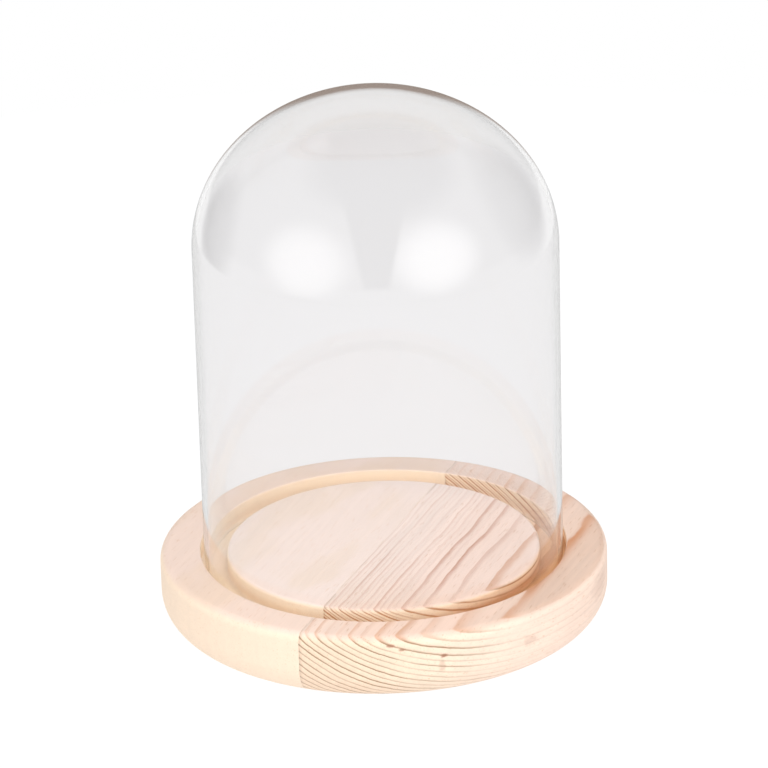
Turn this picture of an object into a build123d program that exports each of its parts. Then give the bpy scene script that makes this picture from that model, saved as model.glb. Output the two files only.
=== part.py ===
"""Bell jar: a glass dome that stands in a ring groove cut in a round pine base.

Units are millimetres. The origin is the centre of the underside, +Z is up and -Y is the front.
The base is a board edge-glued from two staves, so its glue joint and its grain run along one
horizontal line, turned from the front-to-back line by grain_angle.
"""

from build123d import *

import math
import os

# Overall size
overall_height = 140.0
base_diameter = 115.0

# Pine base
board_thickness = 18.0
top_edge_radius = 2.5
bottom_edge_radius = 8.0
grain_angle = 21.8  # degrees, from +Y towards +X
glue_joint_offset = -0.4  # from the axis, square to the grain, positive to the right

# Ring groove that the glass stands in
groove_outer_diameter = 94.2
groove_depth = 5.0
groove_lip_radius = 0.4
plateau_diameter = 80.6
plateau_edge_radius = 1.0

# Glass dome
glass_diameter = 92.4
glass_wall = 1.2
cap_height = 39.5  # height of the half-ellipsoid above the straight wall
quarter_ellipse = 0.5523  # handle length of a cubic curve that follows a quarter of an ellipse

base_radius = base_diameter / 2
glass_outer = glass_diameter / 2
glass_inner = glass_outer - glass_wall
groove_floor = board_thickness - groove_depth
shoulder = overall_height - cap_height
cap_inside_top = overall_height - glass_wall


# The whole base before it is divided: a turned disc with rounded rims and the groove
with BuildPart() as turned_base:
    with BuildSketch(Plane.XY):
        Circle(base_radius)
    extrude(amount=board_thickness)
    fillet(turned_base.faces().sort_by(Axis.Z)[0].edges(), radius=bottom_edge_radius)
    fillet(turned_base.faces().sort_by(Axis.Z)[-1].edges(), radius=top_edge_radius)

    with BuildSketch(Plane.XY.offset(board_thickness)):
        Circle(groove_outer_diameter / 2)
        Circle(plateau_diameter / 2, mode=Mode.SUBTRACT)
    extrude(amount=-groove_depth, mode=Mode.SUBTRACT)

    top_circles = turned_base.edges().filter_by(GeomType.CIRCLE).group_by(Axis.Z)[-1]
    plateau_edge = top_circles.sort_by(SortBy.RADIUS)[0]
    groove_lip = top_circles.sort_by(SortBy.RADIUS)[1]
    fillet(plateau_edge, radius=plateau_edge_radius)
    fillet(groove_lip, radius=groove_lip_radius)


# The glue joint is an upright plane along the grain
across_grain = Vector(
    math.cos(math.radians(grain_angle)),
    -math.sin(math.radians(grain_angle)),
    0,
)
glue_joint = Plane(origin=across_grain * glue_joint_offset, z_dir=across_grain)


# Right-hand stave, the flat-sawn one with the growth rings
with BuildPart() as base_stave_right:
    add(turned_base.part)
    split(bisect_by=glue_joint, keep=Keep.TOP)
base_stave_right.part.label = "base_stave_right"


# Left-hand stave, the plain one
with BuildPart() as base_stave_left:
    add(turned_base.part)
    split(bisect_by=glue_joint, keep=Keep.BOTTOM)
base_stave_left.part.label = "base_stave_left"


# One-piece glass dome: straight wall, half-ellipsoid cap and a fire-polished round rim
with BuildPart() as glass_dome:
    with BuildSketch(Plane.XZ):
        with BuildLine():
            rim_start = groove_floor + glass_wall / 2
            outer_wall = Line((glass_outer, rim_start), (glass_outer, shoulder))
            Bezier(
                (glass_outer, shoulder),
                (glass_outer, shoulder + quarter_ellipse * cap_height),
                (quarter_ellipse * glass_outer, overall_height),
                (0, overall_height),
            )
            Line((0, overall_height), (0, cap_inside_top))
            Bezier(
                (0, cap_inside_top),
                (quarter_ellipse * glass_inner, cap_inside_top),
                (glass_inner, shoulder + quarter_ellipse * (cap_inside_top - shoulder)),
                (glass_inner, shoulder),
            )
            inner_wall = Line((glass_inner, shoulder), (glass_inner, rim_start))
            ThreePointArc(
                inner_wall @ 1,
                (glass_inner + glass_wall / 2, groove_floor),
                outer_wall @ 0,
            )
        make_face()
    revolve(axis=Axis.Z)
glass_dome.part.label = "glass_dome"


os.makedirs("parts", exist_ok=True)
export_step(base_stave_left.part, "parts/base_stave_left.step")
export_step(base_stave_right.part, "parts/base_stave_right.step")
export_step(glass_dome.part, "parts/glass_dome.step")
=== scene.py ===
"""Looks of the bell jar: clear glass dome on a round pine base, on a white studio floor.

Everything is in metres, in the frame of the CAD model: origin at the centre of the underside,
+Z up, -Y the front. The wood's shader graphs work in millimetres, in grain coordinates: u across
the grain from the axis (to the right), w along the grain (to the back) and z up.
"""
import math

import bmesh
import bpy
from mathutils import Matrix, Vector


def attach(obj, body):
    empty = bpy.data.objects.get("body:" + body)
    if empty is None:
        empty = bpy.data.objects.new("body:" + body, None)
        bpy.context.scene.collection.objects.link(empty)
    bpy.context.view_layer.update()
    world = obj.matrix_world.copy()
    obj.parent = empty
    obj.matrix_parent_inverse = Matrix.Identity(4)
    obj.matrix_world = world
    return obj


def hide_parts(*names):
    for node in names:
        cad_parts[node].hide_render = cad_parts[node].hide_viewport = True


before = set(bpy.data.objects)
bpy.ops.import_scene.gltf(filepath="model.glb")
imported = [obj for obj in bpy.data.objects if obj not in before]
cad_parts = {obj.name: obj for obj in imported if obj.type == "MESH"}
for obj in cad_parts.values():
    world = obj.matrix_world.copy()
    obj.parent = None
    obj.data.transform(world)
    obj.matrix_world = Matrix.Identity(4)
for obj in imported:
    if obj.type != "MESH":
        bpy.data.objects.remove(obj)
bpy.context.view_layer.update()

MM = 0.001

# Driving sizes of the object, the same as in the CAD model
BASE_RADIUS = 57.5 * MM
BOARD_THICKNESS = 18.0 * MM
TOP_EDGE_RADIUS = 2.5 * MM
BOTTOM_EDGE_RADIUS = 8.0 * MM
GROOVE_RADIUS = 47.1 * MM
GROOVE_DEPTH = 5.0 * MM
GROOVE_LIP_RADIUS = 0.4 * MM
PLATEAU_RADIUS = 40.3 * MM
PLATEAU_EDGE_RADIUS = 1.0 * MM
GRAIN_ANGLE = math.radians(21.8)
GLUE_JOINT_OFFSET = -0.4 * MM
GLASS_RADIUS = 46.2 * MM
GLASS_WALL = 1.2 * MM
CAP_HEIGHT = 39.5 * MM
OVERALL_HEIGHT = 140.0 * MM

ACROSS_GRAIN = Vector((math.cos(GRAIN_ANGLE), -math.sin(GRAIN_ANGLE), 0.0))

# Camera
VIEW_ELEVATION = math.radians(22.84)
VIEW_DISTANCE = 1.3038
VIEW_ROLL = math.radians(1.52)
LENS_MM = 240.56
AIM = Vector((1.23 * MM, 0.0, 62.19 * MM))

# Studio
LIGHT_SIZE = 0.7
LIGHT_POWER = 3.7
LIGHT_DISTANCE = 0.65
FLOOR_RADIUS = 0.40
FLOOR_GAP = 0.02 * MM  # keeps the floor clear of the underside
DOORWAY_BROWN = (0.39, 0.32, 0.28)
BACKDROP_THROUGH_GLASS = (0.87, 0.867, 0.868)
FLOOR_THROUGH_GLASS = (0.79, 0.782, 0.791)

# Fineness of the turned shapes
TURN_SEGMENTS = 256
CAP_STEPS = 48


# ---------------------------------------------------------------- shader graphs

class Graph:
    """Short calls for building a shader graph. An input is a number, a tuple or a node's output."""

    def __init__(self, tree):
        self.tree = tree
        tree.nodes.clear()

    def node(self, kind, **settings):
        made = self.tree.nodes.new("ShaderNode" + kind)
        for name, value in settings.items():
            setattr(made, name, value)
        return made

    def put(self, socket, value):
        if isinstance(value, bpy.types.NodeSocket):
            self.tree.links.new(value, socket)
        elif value is not None:
            socket.default_value = value

    def math(self, operation, a, b=None, c=None):
        made = self.node("Math", operation=operation)
        for socket, value in zip(made.inputs, (a, b, c)):
            self.put(socket, value)
        return made.outputs[0]

    def product(self, *factors):
        """Multiplies any number of values."""
        total = factors[0]
        for factor in factors[1:]:
            total = self.math("MULTIPLY", total, factor)
        return total

    def vector_math(self, operation, a, b=None):
        made = self.node("VectorMath", operation=operation)
        for socket, value in zip(made.inputs, (a, b)):
            self.put(socket, value)
        return made.outputs["Value" if operation in ("DOT_PRODUCT", "LENGTH", "DISTANCE") else "Vector"]

    def split(self, vector):
        made = self.node("SeparateXYZ")
        self.put(made.inputs[0], vector)
        return made.outputs[0], made.outputs[1], made.outputs[2]

    def join(self, x, y, z):
        made = self.node("CombineXYZ")
        for socket, value in zip(made.inputs, (x, y, z)):
            self.put(socket, value)
        return made.outputs[0]

    def gray(self, level):
        """A colour or vector with the same value three times."""
        return self.join(level, level, level)

    def smooth(self, value, low, high):
        """0 at low and below, 1 at high and beyond, smooth between. low may be the larger."""
        made = self.node("MapRange", interpolation_type="SMOOTHSTEP")
        self.put(made.inputs["Value"], value)
        if low < high:
            self.put(made.inputs["From Min"], low)
            self.put(made.inputs["From Max"], high)
            return made.outputs[0]
        self.put(made.inputs["From Min"], high)
        self.put(made.inputs["From Max"], low)
        self.put(made.inputs["To Min"], 1.0)
        self.put(made.inputs["To Max"], 0.0)
        return made.outputs[0]

    def noise(self, vector, detail=2.0, roughness=0.5):
        """Noise of period about 1, from 0 to 1, mostly near 0.5."""
        made = self.node("TexNoise")
        self.put(made.inputs["Vector"], vector)
        self.put(made.inputs["Scale"], 1.0)
        self.put(made.inputs["Detail"], detail)
        self.put(made.inputs["Roughness"], roughness)
        return made.outputs["Fac"]

    def mix(self, factor, a, b, blend="MIX"):
        """Mixes two colours."""
        made = self.node("Mix", data_type="RGBA", blend_type=blend)
        self.put(made.inputs["Factor"], factor)
        for name, value in (("A", a), ("B", b)):
            if isinstance(value, tuple):
                value = (*value, 1.0)
            self.put([s for s in made.inputs if s.name == name and s.type == "RGBA"][0], value)
        return [s for s in made.outputs if s.type == "RGBA"][0]


# ---------------------------------------------------------------- camera, studio and floor

def add_camera():
    """The camera looks at the front from above, slightly rolled."""
    data = bpy.data.cameras.new("camera")
    data.lens = LENS_MM
    data.sensor_width = 36.0
    data.clip_start = 0.05
    data.clip_end = 20.0
    camera = bpy.data.objects.new("camera", data)
    bpy.context.scene.collection.objects.link(camera)
    back = Vector((0.0, -math.cos(VIEW_ELEVATION), math.sin(VIEW_ELEVATION)))
    camera.rotation_mode = "QUATERNION"
    look = (-back).to_track_quat("-Z", "Y")
    roll = Matrix.Rotation(-VIEW_ROLL, 3, "Z").to_quaternion()
    camera.rotation_quaternion = look @ roll
    camera.location = AIM + back * VIEW_DISTANCE
    bpy.context.scene.camera = camera


def toward(azimuth, elevation):
    """The direction of a place in the studio, in degrees. Azimuth 0 is the camera's side, 90 is +X."""
    a = math.radians(azimuth)
    e = math.radians(elevation)
    return Vector((math.sin(a) * math.cos(e), -math.cos(a) * math.cos(e), math.sin(e)))


def add_overhead_light():
    """A broad soft light above the front, which the glass doesn't reflect."""
    data = bpy.data.lights.new("overhead", "AREA")
    data.shape = "DISK"
    data.size = LIGHT_SIZE
    data.energy = LIGHT_POWER
    light = bpy.data.objects.new("overhead", data)
    bpy.context.scene.collection.objects.link(light)
    out = toward(5, 66)
    light.rotation_mode = "QUATERNION"
    light.rotation_quaternion = out.to_track_quat("Z", "Y")
    light.location = AIM + out * LIGHT_DISTANCE
    light.visible_camera = False
    light.visible_glossy = False
    light.visible_transmission = False


def cosine(angle):
    """The cosine of an angle in degrees."""
    return math.cos(math.radians(angle))


def softbox(g, direction, side, center, strength, dim, top):
    """Light from a panel beside the camera: a bright middle on a dim sheet with soft edges.

    side is -1 for the left panel and 1 for the right one, center is the direction of its brightest
    place, strength is that place's brightness over the sheet's, which is dim, and top is how high
    it reaches. The gap between the panels widens upward, because they lean apart.
    """
    x, y, z = g.split(direction)
    sideways = g.math("MULTIPLY", x, float(side))
    gap = g.math("MULTIPLY_ADD", z, 0.17, 0.13)
    near_edge = g.smooth(g.math("SUBTRACT", sideways, gap), -0.03, 0.04)
    upper_edge = g.smooth(z, top + 0.10, top - 0.10)
    lower_edge = g.smooth(z, -0.30, -0.20)
    back_edge = g.smooth(y, 0.80, 0.40)
    sheet = g.product(near_edge, upper_edge, lower_edge, back_edge)
    closeness = g.vector_math("DOT_PRODUCT", direction, tuple(center))
    bright = g.math("POWER", g.smooth(closeness, cosine(38), cosine(2)), 1.5)
    radiance = g.math("MULTIPLY_ADD", bright, strength, dim)
    return g.math("MULTIPLY", radiance, sheet)


def dark_flag(g, direction, center, reach, depth):
    """How much light is left where a black flag stands, out to an angle of reach from its centre."""
    closeness = g.vector_math("DOT_PRODUCT", direction, tuple(center))
    shade = g.smooth(closeness, cosine(reach), cosine(reach * 0.35))
    return g.math("SUBTRACT", 1.0, g.math("MULTIPLY", shade, depth))


def seen_through_dome(g):
    """1 for a view through both walls of the dome, 0 for one that is bent along its outline."""
    path = g.node("LightPath")
    both_walls = g.math("GREATER_THAN", path.outputs["Transmission Depth"], 2.5)
    return g.math("MULTIPLY", path.outputs["Is Transmission Ray"], both_walls)


def panels_and_walls(g, direction):
    """How bright the studio is: two panels, a back wall and a table, less two black flags.

    The table is white through one wall of glass, so that the mouth of the lifted dome reads as open.
    """
    y, up = g.split(direction)[1:]
    left = softbox(g, direction, -1, toward(-46, 13), 1.55, 0.64, 0.87)
    right = softbox(g, direction, 1, toward(40, 16), 1.85, 0.60, 0.80)
    table_level = g.math("MULTIPLY_ADD", g.smooth(y, 0.0, 0.5), 0.40, 0.60)
    through_glass = g.math("MULTIPLY", g.node("LightPath").outputs["Is Transmission Ray"], 1.05)
    table_level = g.math("MAXIMUM", table_level, through_glass)
    table = g.math("MULTIPLY", g.smooth(up, 0.02, -0.10), table_level)
    back_wall = g.product(g.smooth(y, 0.25, 0.70), g.smooth(up, 0.92, 0.60), 0.75)
    level = g.math("MAXIMUM", g.math("ADD", left, right), g.math("MAXIMUM", back_wall, table))
    right_flag = dark_flag(g, direction, toward(117, 14), 34, 0.9)
    left_flag = dark_flag(g, direction, toward(-122, 0), 26, 0.9)
    return g.product(level, right_flag, left_flag)


def doorway(g, direction):
    """1 in a dark opening straight behind, which draws the brown line along the dome's top outline."""
    x, y, up = g.split(direction)
    behind = g.smooth(y, 0.25, 0.70)
    width = g.smooth(g.math("ABSOLUTE", x), 0.24, 0.09)
    height = g.math("MULTIPLY", g.smooth(up, -0.36, -0.24), g.smooth(up, 0.22, 0.06))
    return g.product(height, behind, width)


def add_world():
    """The studio around the object. The eye sees plain white instead, or a pale grey through the dome."""
    world = bpy.data.worlds.new("studio")
    bpy.context.scene.world = world
    world.use_nodes = True
    g = Graph(world.node_tree)
    direction = g.node("TexCoord").outputs["Generated"]
    surroundings = g.gray(panels_and_walls(g, direction))
    surroundings = g.mix(doorway(g, direction), surroundings, DOORWAY_BROWN)
    room = g.node("Background")
    g.put(room.inputs["Color"], g.mix(seen_through_dome(g), surroundings, BACKDROP_THROUGH_GLASS))
    white = g.node("Background")
    g.put(white.inputs["Color"], (1.0, 1.0, 1.0, 1.0))
    mix = g.node("MixShader")
    g.put(mix.inputs["Fac"], g.node("LightPath").outputs["Is Camera Ray"])
    g.put(mix.inputs[1], room.outputs[0])
    g.put(mix.inputs[2], white.outputs[0])
    g.put(g.node("OutputWorld").inputs["Surface"], mix.outputs[0])


def floor_material():
    """A white that glows by itself, more to the eye and to the wood than in the glass."""
    material = bpy.data.materials.new("white_floor")
    material.use_nodes = True
    g = Graph(material.node_tree)
    path = g.node("LightPath")
    seen = g.math("MAXIMUM", path.outputs["Is Camera Ray"], path.outputs["Is Diffuse Ray"])
    strength = g.math("MULTIPLY_ADD", seen, 0.25, 0.68)
    strength = g.math("MULTIPLY_ADD", path.outputs["Is Transmission Ray"], 0.14, strength)
    glow = g.node("Emission")
    g.put(glow.inputs["Color"], g.mix(seen_through_dome(g), g.gray(strength), FLOOR_THROUGH_GLASS))
    g.put(glow.inputs["Strength"], 1.0)
    diffuse = g.node("BsdfDiffuse")
    g.put(diffuse.inputs["Color"], (0.12, 0.12, 0.12, 1.0))
    add = g.node("AddShader")
    g.put(add.inputs[0], glow.outputs[0])
    g.put(add.inputs[1], diffuse.outputs[0])
    g.put(g.node("OutputMaterial").inputs["Surface"], add.outputs[0])
    return material


def add_floor():
    """A round white floor. Its glow leaves only a faint contact shadow on it."""
    mesh = bpy.data.meshes.new("floor")
    bm = bmesh.new()
    bmesh.ops.create_circle(bm, cap_ends=True, segments=128, radius=FLOOR_RADIUS)
    bm.to_mesh(mesh)
    bm.free()
    mesh.materials.append(floor_material())
    floor = bpy.data.objects.new("floor", mesh)
    bpy.context.scene.collection.objects.link(floor)
    floor.location.z = -FLOOR_GAP


# ---------------------------------------------------------------- shapes

def arc(center, radius, start, end, steps):
    """Points (r, z) on a circular arc, angles in degrees."""
    points = []
    for i in range(steps + 1):
        a = math.radians(start + (end - start) * i / steps)
        points.append((center[0] + radius * math.cos(a), center[1] + radius * math.sin(a)))
    return points


def straight(start, end, steps):
    """Points (r, z) on a straight run, without its first point."""
    points = []
    for i in range(1, steps + 1):
        t = i / steps
        points.append((start[0] + (end[0] - start[0]) * t, start[1] + (end[1] - start[1]) * t))
    return points


def revolve(profile, segments):
    """A bmesh turned from (r, z) points. A point on the axis becomes one pole vertex."""
    bm = bmesh.new()
    rings = []
    for r, z in profile:
        if r < 1e-7:
            rings.append([bm.verts.new((0.0, 0.0, z))])
            continue
        ring = []
        for i in range(segments):
            a = 2.0 * math.pi * i / segments
            ring.append(bm.verts.new((r * math.cos(a), r * math.sin(a), z)))
        rings.append(ring)
    for low, high in zip(rings, rings[1:]):
        for i in range(segments):
            j = (i + 1) % segments
            if len(low) == 1:
                bm.faces.new((low[0], high[j], high[i]))
            elif len(high) == 1:
                bm.faces.new((low[i], low[j], high[0]))
            else:
                bm.faces.new((low[i], low[j], high[j], high[i]))
    bmesh.ops.recalc_face_normals(bm, faces=bm.faces)
    return bm


def finish_mesh(bm, name, material, body, node):
    """Turns a bmesh into a piece that stands for a CAD node."""
    mesh = bpy.data.meshes.new(name)
    for face in bm.faces:
        face.smooth = True
    bm.to_mesh(mesh)
    bm.free()
    mesh.materials.append(material)
    piece = bpy.data.objects.new(name, mesh)
    bpy.context.scene.collection.objects.link(piece)
    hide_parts(node)
    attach(piece, body)
    return piece


def base_profile():
    """Half section of the turned base, from the centre of the underside to the centre of the top."""
    top = BOARD_THICKNESS
    floor = top - GROOVE_DEPTH
    foot = BASE_RADIUS - BOTTOM_EDGE_RADIUS
    shoulder = BASE_RADIUS - TOP_EDGE_RADIUS
    lip = GROOVE_RADIUS + GROOVE_LIP_RADIUS
    brow = PLATEAU_RADIUS - PLATEAU_EDGE_RADIUS
    points = [(0.0, 0.0)]
    points += straight((0.0, 0.0), (foot, 0.0), 12)
    points += arc((foot, BOTTOM_EDGE_RADIUS), BOTTOM_EDGE_RADIUS, -90, 0, 16)[1:]
    points += straight((BASE_RADIUS, BOTTOM_EDGE_RADIUS), (BASE_RADIUS, top - TOP_EDGE_RADIUS), 8)
    points += arc((shoulder, top - TOP_EDGE_RADIUS), TOP_EDGE_RADIUS, 0, 90, 12)[1:]
    points += straight((shoulder, top), (lip, top), 6)
    points += arc((lip, top - GROOVE_LIP_RADIUS), GROOVE_LIP_RADIUS, 90, 180, 6)[1:]
    points += straight((GROOVE_RADIUS, top - GROOVE_LIP_RADIUS), (GROOVE_RADIUS, floor), 5)
    points += straight((GROOVE_RADIUS, floor), (PLATEAU_RADIUS, floor), 5)
    points += straight((PLATEAU_RADIUS, floor), (PLATEAU_RADIUS, top - PLATEAU_EDGE_RADIUS), 4)
    points += arc((brow, top - PLATEAU_EDGE_RADIUS), PLATEAU_EDGE_RADIUS, 0, 90, 8)[1:]
    points += straight((brow, top), (0.0, top), 20)
    return points


def dome_profile():
    """Half section of the dome: outside from the apex down, round the rim, and up the inside."""
    shoulder = OVERALL_HEIGHT - CAP_HEIGHT
    rim = BOARD_THICKNESS - GROOVE_DEPTH + GLASS_WALL / 2
    inner = GLASS_RADIUS - GLASS_WALL
    cap_inside = CAP_HEIGHT - GLASS_WALL
    points = []
    for i in range(CAP_STEPS + 1):
        a = math.pi / 2 * (1 - i / CAP_STEPS)
        points.append((GLASS_RADIUS * math.cos(a), shoulder + CAP_HEIGHT * math.sin(a)))
    points[0] = (0.0, OVERALL_HEIGHT)
    points += straight((GLASS_RADIUS, shoulder), (GLASS_RADIUS, rim), 40)
    points += arc((GLASS_RADIUS - GLASS_WALL / 2, rim), GLASS_WALL / 2, 0, -180, 16)[1:]
    points += straight((inner, rim), (inner, shoulder), 40)
    for i in range(1, CAP_STEPS + 1):
        a = math.pi / 2 * i / CAP_STEPS
        points.append((inner * math.cos(a), shoulder + cap_inside * math.sin(a)))
    points[-1] = (0.0, shoulder + cap_inside)
    return points


def add_stave(name, material, node, side):
    """One half of the base, cut along the glue joint. side is 1 for the right, -1 for the left."""
    bm = revolve(base_profile(), TURN_SEGMENTS)
    cut = bmesh.ops.bisect_plane(
        bm,
        geom=bm.verts[:] + bm.edges[:] + bm.faces[:],
        plane_co=ACROSS_GRAIN * GLUE_JOINT_OFFSET,
        plane_no=ACROSS_GRAIN * side,
        clear_inner=True,
    )
    rim = [e for e in cut["geom_cut"] if isinstance(e, bmesh.types.BMEdge)]
    bmesh.ops.contextual_create(bm, geom=rim)
    bmesh.ops.recalc_face_normals(bm, faces=bm.faces)
    return finish_mesh(bm, name, material, "base", node)


# ---------------------------------------------------------------- pine

# Growth rings, in millimetres. The pith is the tree's centre line, above the board to the right.
PITH = (54.0, 91.0)
FIRST_RING = 81.5  # distance from the pith to ring 0
INNER_PITCH = 1.95  # from ring to ring inside ring 0
OUTER_PITCH = 1.48  # from ring to ring outside it
LOWEST_RING = -5
RING_DARKNESS = (
    0.5, 0.95, 0.8, 0.5, 1.0, 0.85, 0.4, 0.8, 0.45,
    0.55, 0.8, 0.5, 0.85, 0.8, 0.45, 0.6, 0.6, 0.5,
)

# Earlywood, the light wood between the lines, by place; in the groove and at the back with painted light
# and shade
RIM_LIGHT = (0.885, 0.69, 0.585)
RIM_RIGHT = (0.765, 0.60, 0.50)
PLATEAU_LIGHT = (0.895, 0.735, 0.66)
EDGE_LIGHT = (0.925, 0.745, 0.585)
EDGE_RIGHT = (0.95, 0.74, 0.62)
# In the groove: pale end grain, lightened by painted light for the light the glass brings in, and painted
# shade deep down, darkest on the right
GROOVE_GRAIN_AND_PAINTED_LIGHT = (0.96, 0.80, 0.62)
GROOVE_DEEP_PAINTED_SHADE = (0.90, 0.725, 0.56)
GROOVE_RIGHT = (0.98, 0.72, 0.49)
GROOVE_RIGHT_DEEP_PAINTED_SHADE = (0.73, 0.415, 0.22)
# Painted shade: the back of the top darker, where less light falls
BACK_PAINTED_SHADE = (0.91, 0.93, 0.965)

# Latewood, the dark lines, by place
TOP_LATEWOOD = (0.61, 0.335, 0.245)
ORANGE_LATEWOOD = (0.67, 0.35, 0.20)
BAND_LATEWOOD = (0.60, 0.26, 0.12)
EDGE_LATEWOOD = (0.40, 0.255, 0.155)
GROOVE_LATEWOOD = (0.55, 0.265, 0.12)

# Marks of the right stave: (u, w, z), half sizes, darkness
MARK_COLOR = (0.36, 0.17, 0.10)
MARKS = (
    ((34.0, -46.3, 12.2), (0.9, 3.0, 0.65), 0.9),
    ((33.6, -46.6, 9.6), (0.9, 3.0, 2.2), 0.3),
    ((22.3, -53.0, 16.0), (1.3, 3.0, 0.5), 0.8),
    ((25.0, -51.8, 14.9), (0.9, 3.0, 0.5), 0.7),
    ((50.1, -28.3, 10.6), (2.4, 3.4, 1.6), 0.24),
    ((57.0, 4.3, 12.6), (3.0, 8.0, 4.0), 0.18),
)


def grain_coordinates(g):
    """The place in the board in millimetres, as a vector (u, w, z)."""
    mapping = g.node("Mapping")
    g.put(mapping.inputs["Vector"], g.node("TexCoord").outputs["Object"])
    g.put(mapping.inputs["Rotation"], (0.0, 0.0, GRAIN_ANGLE))
    g.put(mapping.inputs["Scale"], (1.0 / MM, 1.0 / MM, 1.0 / MM))
    return mapping.outputs[0]


def stretched(g, grain, across, along, seed=0.0):
    """Grain coordinates for a noise whose period is across by along, in millimetres."""
    scaled = g.vector_math("MULTIPLY", grain, (1.0 / across, 1.0 / along, 1.0 / across))
    return g.vector_math("ADD", scaled, (seed, seed * 1.7, -seed))


def swing(g, noise, amount):
    """Turns noise of 0 to 1 into a swing of about -amount to amount."""
    return g.math("MULTIPLY_ADD", noise, 2.0 * amount, -amount)


def tint(g, color, amount, factor):
    """Multiplies a colour by factor, where amount is 1."""
    return g.mix(amount, color, g.mix(1.0, color, factor, "MULTIPLY"))


def shaded(g, color, *swings):
    """Lightens and darkens a colour by swings about zero."""
    level = 1.0
    for change in swings:
        level = g.math("ADD", change, level)
    return g.mix(1.0, color, g.gray(level), "MULTIPLY")


def axis_distance(g, grain):
    """Distance from the axis of the base."""
    u, w = g.split(grain)[:2]
    return g.math("SQRT", g.math("ADD", g.math("MULTIPLY", u, u), g.math("MULTIPLY", w, w)))


def on_plateau(g, grain):
    """1 within the plateau's edge, 0 outside it."""
    edge = PLATEAU_RADIUS / MM
    return g.smooth(axis_distance(g, grain), edge + 1.2, edge - 0.3)


def groove_depth_painted_shade(g, grain):
    """1 in the lower part of the groove, 0 in the upper part: where painted shade darkens it."""
    top = BOARD_THICKNESS / MM
    return g.smooth(g.split(grain)[2], top - 1.6, top - 3.6)


def in_groove(g, grain):
    """1 on the walls and floor of the ring groove, 0 elsewhere."""
    radius = axis_distance(g, grain)
    inner = PLATEAU_RADIUS / MM
    outer = GROOVE_RADIUS / MM
    top = BOARD_THICKNESS / MM
    inner_edge = g.smooth(radius, inner - 0.4, inner)
    outer_edge = g.smooth(radius, outer + 0.3, outer)
    below_top = g.smooth(g.split(grain)[2], top - 0.1, top - 0.9)
    return g.product(inner_edge, outer_edge, below_top)


def facing_up(g):
    """1 on the flat top, 0 on the upright sides."""
    normal = g.node("NewGeometry").outputs["Normal"]
    return g.smooth(g.split(normal)[2], 0.45, 0.95)


def fibres(g, grain):
    """Fine streaks on the top, which are fine dots where the grain ends on the turned side."""
    return g.noise(stretched(g, grain, 0.30, 8.0), detail=2.0, roughness=0.6)


def resin_canals(g, grain):
    """Short thin dark dashes along the grain."""
    return g.smooth(g.noise(stretched(g, grain, 0.28, 3.0, 31.0), detail=0.0), 0.70, 0.80)


def wood_output(g, color, roughness, height):
    """Ends a wood graph: sanded bare pine with a soft low gloss."""
    body = g.node("BsdfPrincipled")
    bump = g.node("Bump")
    g.put(bump.inputs["Strength"], 0.4)
    g.put(bump.inputs["Distance"], 0.12 * MM)
    g.put(bump.inputs["Height"], height)
    g.put(body.inputs["Base Color"], color)
    g.put(body.inputs["Roughness"], roughness)
    g.put(body.inputs["Specular IOR Level"], 0.25)
    g.put(body.inputs["Normal"], bump.outputs[0])
    g.put(g.node("OutputMaterial").inputs["Surface"], body.outputs[0])


def ring_count(g, grain):
    """Growth rings counted outward from ring 0, unevenly. Whole numbers are the latewood lines."""
    u, _, z = g.split(grain)
    du = g.math("SUBTRACT", u, PITH[0])
    dz = g.math("SUBTRACT", z, PITH[1])
    radius = g.math("SQRT", g.math("ADD", g.math("MULTIPLY", du, du), g.math("MULTIPLY", dz, dz)))
    broad = swing(g, g.noise(stretched(g, grain, 45.0, 30.0, 3.0), detail=1.0), 0.8)
    broad = g.math("MULTIPLY", broad, g.math("MULTIPLY_ADD", g.smooth(u, 22.0, 40.0), -0.75, 1.0))
    medium = swing(g, g.noise(stretched(g, grain, 8.0, 16.0, 8.0), detail=2.0), 0.27)
    fine = swing(g, g.noise(stretched(g, grain, 1.2, 5.0, 12.0), detail=2.0), 0.11)
    distance = g.math("SUBTRACT", radius, FIRST_RING)
    for wobble in (broad, medium, fine):
        distance = g.math("ADD", distance, wobble)
    outer = g.math("DIVIDE", g.math("MAXIMUM", distance, 0.0), OUTER_PITCH)
    inner = g.math("DIVIDE", g.math("MINIMUM", distance, 0.0), INNER_PITCH)
    return g.math("ADD", outer, inner)


def ring_darkness(g, count):
    """How dark the latewood of the present ring is."""
    ramp = g.node("ValToRGB")
    ramp.color_ramp.interpolation = "CONSTANT"
    total = len(RING_DARKNESS)
    elements = ramp.color_ramp.elements
    while len(elements) < total:
        elements.new(1.0)
    for i, value in enumerate(RING_DARKNESS):
        elements[i].position = i / total
        elements[i].color = (value, value, value, 1.0)
    ring = g.math("CEIL", count)
    g.put(ramp.inputs["Fac"], g.math("DIVIDE", g.math("SUBTRACT", ring, LOWEST_RING - 0.5), float(total)))
    return ramp.outputs["Color"]


def mark(g, grain, place, size):
    """1 inside a small mark, fading to 0 at its ragged border."""
    offset = g.vector_math("SUBTRACT", grain, place)
    distance = g.vector_math("LENGTH", g.vector_math("DIVIDE", offset, size))
    ragged = swing(g, g.noise(stretched(g, grain, 0.9, 3.0, 20.0), detail=2.0), 0.6)
    return g.smooth(g.math("ADD", distance, ragged), 1.15, 0.35)


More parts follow.
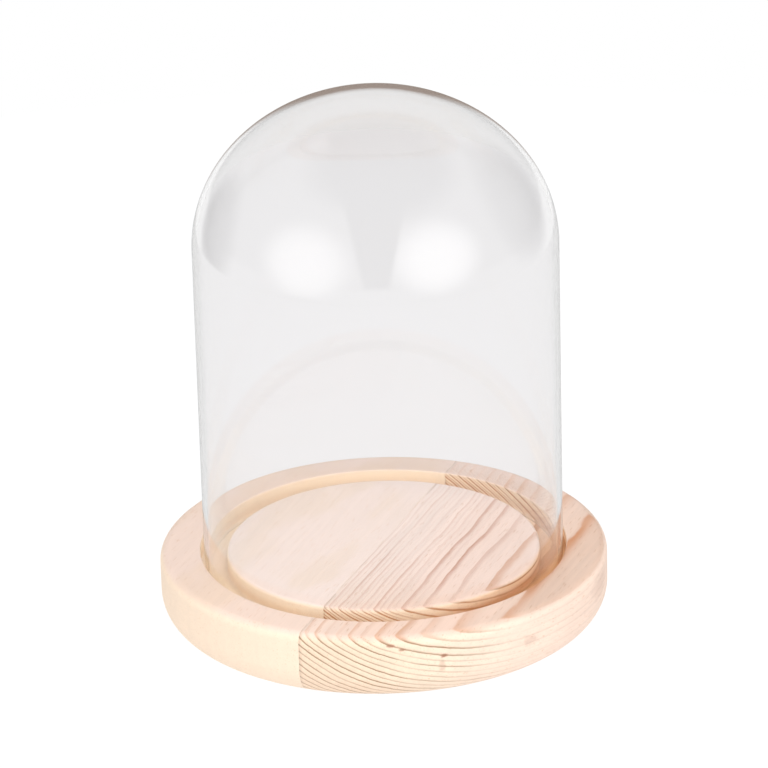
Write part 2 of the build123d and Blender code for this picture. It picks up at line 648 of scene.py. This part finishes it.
def line_profile(g, grain, count, rim, inside):
    """How dark the wood is within one ring: a line that ends sharply, and a second one near the seam.

    rim is 1 on the flat rim, where the line is softer, and inside is 1 on the plateau and in the
    groove, where the second line shows.
    """
    u = g.split(grain)[0]
    phase = g.math("FRACT", count)
    sharp = g.math("MULTIPLY", g.smooth(phase, 0.60, 0.93), g.smooth(phase, 1.0, 0.96))
    soft = g.math("MULTIPLY", g.smooth(phase, 0.40, 0.92), g.smooth(phase, 1.0, 0.90))
    main = g.math("MULTIPLY_ADD", rim, g.math("SUBTRACT", soft, sharp), sharp)
    approach = g.math("MULTIPLY", g.smooth(phase, 0.20, 0.95), 0.14)
    half = g.math("FRACT", g.math("MULTIPLY", count, 2.0))
    second = g.math("MULTIPLY", g.smooth(half, 0.45, 0.90), g.smooth(half, 1.0, 0.95))
    second_level = g.math("MULTIPLY_ADD", inside, 0.40, 0.10)
    second = g.product(second, g.smooth(u, 24.0, 16.0), second_level)
    return g.math("MAXIMUM", g.math("MAXIMUM", main, approach), second)


def line_strength(g, grain, up, groove, rim):
    """How strong the lines are: they fade near the seam on top, and to the right."""
    u, w = g.split(grain)[:2]
    left_level = g.math("MULTIPLY_ADD", g.smooth(w, -15.0, 8.0), 0.45, 0.10)
    left = g.math("MULTIPLY", g.smooth(u, 19.0, 12.0), left_level)
    right = g.math("MULTIPLY", g.smooth(u, 45.6, 49.0), 0.80)
    on_top = g.math("MAXIMUM", left, right)
    on_side = g.math("MULTIPLY", g.smooth(u, 34.0, 50.0), 0.80)
    faded = g.mix(up, g.gray(on_side), g.gray(on_top))
    kept = g.math("SUBTRACT", 1.0, faded)
    rim_level = g.math("MULTIPLY_ADD", g.math("MULTIPLY", rim, g.smooth(u, 45.0, 40.0)), -0.25, 1.0)
    side = g.math("SUBTRACT", 1.0, g.math("MAXIMUM", up, groove))
    seam_side = g.math("MULTIPLY", side, g.smooth(u, 30.0, 14.0))
    return g.product(kept, rim_level, g.math("MULTIPLY_ADD", seam_side, 0.55, 1.0))


def flat_rim(g, up, groove, plateau):
    """1 on the flat top outside the groove, 0 elsewhere."""
    outside = g.math("SUBTRACT", 1.0, g.math("MAXIMUM", plateau, groove))
    return g.math("MULTIPLY", up, outside)


def ring_lines(g, grain, up, groove, plateau, rim):
    """The latewood lines, from 0 between them to 1 where they are darkest."""
    inside = g.math("MAXIMUM", plateau, groove)
    count = ring_count(g, grain)
    patches = g.smooth(g.noise(stretched(g, grain, 9.0, 26.0, 5.0), detail=1.0), 0.22, 0.58)
    patchy = g.math("MULTIPLY_ADD", patches, 0.55, 0.45)
    line = line_profile(g, grain, count, rim, inside)
    strength = line_strength(g, grain, up, groove, rim)
    line = g.product(line, ring_darkness(g, count), patchy, strength)
    stronger_in_groove = g.math("MULTIPLY_ADD", groove, 1.3, 1.0)
    return g.math("MINIMUM", g.math("MULTIPLY", line, stronger_in_groove), 1.0)


def earlywood(g, grain, up, groove, plateau):
    """The light wood of the right stave, with painted light and shade in the groove and painted shade at
    the back.
    """
    u, w = g.split(grain)[:2]
    rim = g.mix(g.smooth(u, 32.0, 52.0), RIM_LIGHT, RIM_RIGHT)
    top = g.mix(plateau, rim, PLATEAU_LIGHT)
    top = tint(g, top, g.smooth(u, 0.0, 25.0), (1.0, 0.955, 0.93))
    top = tint(g, top, g.math("MULTIPLY", g.smooth(w, -8.0, -40.0), plateau), (0.955, 0.925, 0.88))
    top = tint(g, top, g.math("MULTIPLY", g.smooth(u, 5.0, 30.0), plateau), (0.985, 0.96, 0.945))
    # Painted shade: the back of the top darker, where less light falls
    top = tint(g, top, g.smooth(w, 25.0, 50.0), BACK_PAINTED_SHADE)
    edge = g.mix(g.smooth(u, 25.0, 56.0), EDGE_LIGHT, EDGE_RIGHT)
    edge = tint(g, edge, g.smooth(u, 34.0, 14.0), (0.985, 0.945, 0.925))
    # Painted shade deep in the groove; the left colour above it is lightened by painted light
    depth_shade = groove_depth_painted_shade(g, grain)
    groove_left = g.mix(depth_shade, GROOVE_GRAIN_AND_PAINTED_LIGHT, GROOVE_DEEP_PAINTED_SHADE)
    groove_right = g.mix(depth_shade, GROOVE_RIGHT, GROOVE_RIGHT_DEEP_PAINTED_SHADE)
    in_ring = g.mix(g.smooth(u, 18.0, 42.0), groove_left, groove_right)
    return g.mix(groove, g.mix(up, edge, top), in_ring)


def latewood(g, grain, up, groove, rim):
    """The dark wood of the right stave's lines."""
    u = g.split(grain)[0]
    top = g.mix(g.math("MAXIMUM", g.smooth(u, 27.0, 40.0), rim), TOP_LATEWOOD, ORANGE_LATEWOOD)
    top = g.mix(g.smooth(u, 40.0, 45.0), top, BAND_LATEWOOD)
    return g.mix(groove, g.mix(up, EDGE_LATEWOOD, top), GROOVE_LATEWOOD)


def figured_pine_material():
    """Right stave: flat-sawn pine with growth rings, thin on the turned side and broad on the top."""
    material = bpy.data.materials.new("pine_figured")
    material.use_nodes = True
    g = Graph(material.node_tree)
    grain = grain_coordinates(g)
    up = facing_up(g)
    groove = in_groove(g, grain)
    plateau = on_plateau(g, grain)
    rim = flat_rim(g, up, groove, plateau)
    line = ring_lines(g, grain, up, groove, plateau, rim)
    light = earlywood(g, grain, up, groove, plateau)
    color = g.mix(line, light, latewood(g, grain, up, groove, rim))

    fibre = fibres(g, grain)
    streak = g.noise(stretched(g, grain, 1.3, 30.0, 7.0), detail=2.0)
    mottle = g.noise(stretched(g, grain, 9.0, 30.0, 2.0), detail=2.0)
    color = shaded(g, color, swing(g, fibre, 0.06), swing(g, streak, 0.08), swing(g, mottle, 0.06))
    color = tint(g, color, resin_canals(g, grain), (0.86, 0.78, 0.70))
    for place, size, darkness in MARKS:
        amount = g.math("MULTIPLY", mark(g, grain, place, size), darkness)
        color = g.mix(amount, color, MARK_COLOR)

    roughness = g.math("MULTIPLY_ADD", line, -0.14, 0.64)
    height = g.math("ADD", g.math("MULTIPLY", fibre, 0.6), g.math("MULTIPLY", line, 0.25))
    wood_output(g, color, roughness, height)
    return material


def plain_pine_material():
    """Left stave: plain pine with straight grain and hardly any figure."""
    material = bpy.data.materials.new("pine_plain")
    material.use_nodes = True
    g = Graph(material.node_tree)
    grain = grain_coordinates(g)
    u, w = g.split(grain)[:2]
    up = facing_up(g)
    top = g.mix(on_plateau(g, grain), RIM_LIGHT, PLATEAU_LIGHT)
    # Painted shade: the back of the top darker, where less light falls
    top = tint(g, top, g.smooth(w, 25.0, 50.0), BACK_PAINTED_SHADE)
    # Groove: pale end grain lightened by painted light above, painted shade deep down
    in_ring = g.mix(groove_depth_painted_shade(g, grain), GROOVE_GRAIN_AND_PAINTED_LIGHT, GROOVE_DEEP_PAINTED_SHADE)
    light = g.mix(in_groove(g, grain), g.mix(up, EDGE_LIGHT, top), in_ring)

    bend = swing(g, g.noise(stretched(g, grain, 12.0, 40.0, 4.0), detail=1.0), 3.0)
    across = g.math("MULTIPLY", g.math("ADD", u, bend), 0.45)
    bands = g.noise(g.join(across, 0.0, 0.0), detail=3.0, roughness=0.65)
    fibre = fibres(g, grain)
    streak = g.noise(stretched(g, grain, 1.3, 30.0, 7.0), detail=2.0)
    mottle = g.noise(stretched(g, grain, 11.0, 30.0, 9.0), detail=2.0)
    color = shaded(g, light, swing(g, fibre, 0.035), swing(g, streak, 0.04), swing(g, bands, 0.04))
    tan_patches = g.math("MULTIPLY", g.smooth(mottle, 0.42, 0.62), up)
    color = tint(g, color, tan_patches, (0.97, 0.955, 0.905))
    far_left = g.math("MULTIPLY", g.smooth(u, -24.0, -42.0), up)
    color = tint(g, color, far_left, (0.955, 0.965, 0.98))
    color = tint(g, color, resin_canals(g, grain), (0.92, 0.86, 0.80))
    wood_output(g, color, g.math("MULTIPLY_ADD", streak, 0.12, 0.56), fibre)
    return material


# ---------------------------------------------------------------- glass

def glass_material():
    """Clear glass with a faint warm grey body colour, which shows along its edges."""
    material = bpy.data.materials.new("clear_glass")
    material.use_nodes = True
    g = Graph(material.node_tree)
    body = g.node("BsdfPrincipled")
    g.put(body.inputs["Base Color"], (1.0, 1.0, 1.0, 1.0))
    g.put(body.inputs["Roughness"], 0.0)
    g.put(body.inputs["IOR"], 1.5)
    g.put(body.inputs["Transmission Weight"], 1.0)
    absorption = g.node("VolumeAbsorption")
    g.put(absorption.inputs["Color"], (0.45, 0.40, 0.38, 1.0))
    g.put(absorption.inputs["Density"], 20.0)
    out = g.node("OutputMaterial")
    g.put(out.inputs["Surface"], body.outputs[0])
    g.put(out.inputs["Volume"], absorption.outputs[0])
    return material


# ---------------------------------------------------------------- build

add_camera()
add_world()
add_floor()
add_overhead_light()

add_stave("pine_stave_left", plain_pine_material(), "base_stave_left", -1)
add_stave("pine_stave_right", figured_pine_material(), "base_stave_right", 1)

dome_mesh = revolve(dome_profile(), TURN_SEGMENTS)
dome = finish_mesh(dome_mesh, "clear_glass_dome", glass_material(), "dome", "glass_dome")
# Thin clear glass passes nearly all light, so the wood below is lit as if it weren't there
dome.visible_shadow = False
dome.visible_diffuse = False

bpy.context.scene.view_settings.view_transform = "Standard"
bpy.context.scene.view_settings.look = "None"
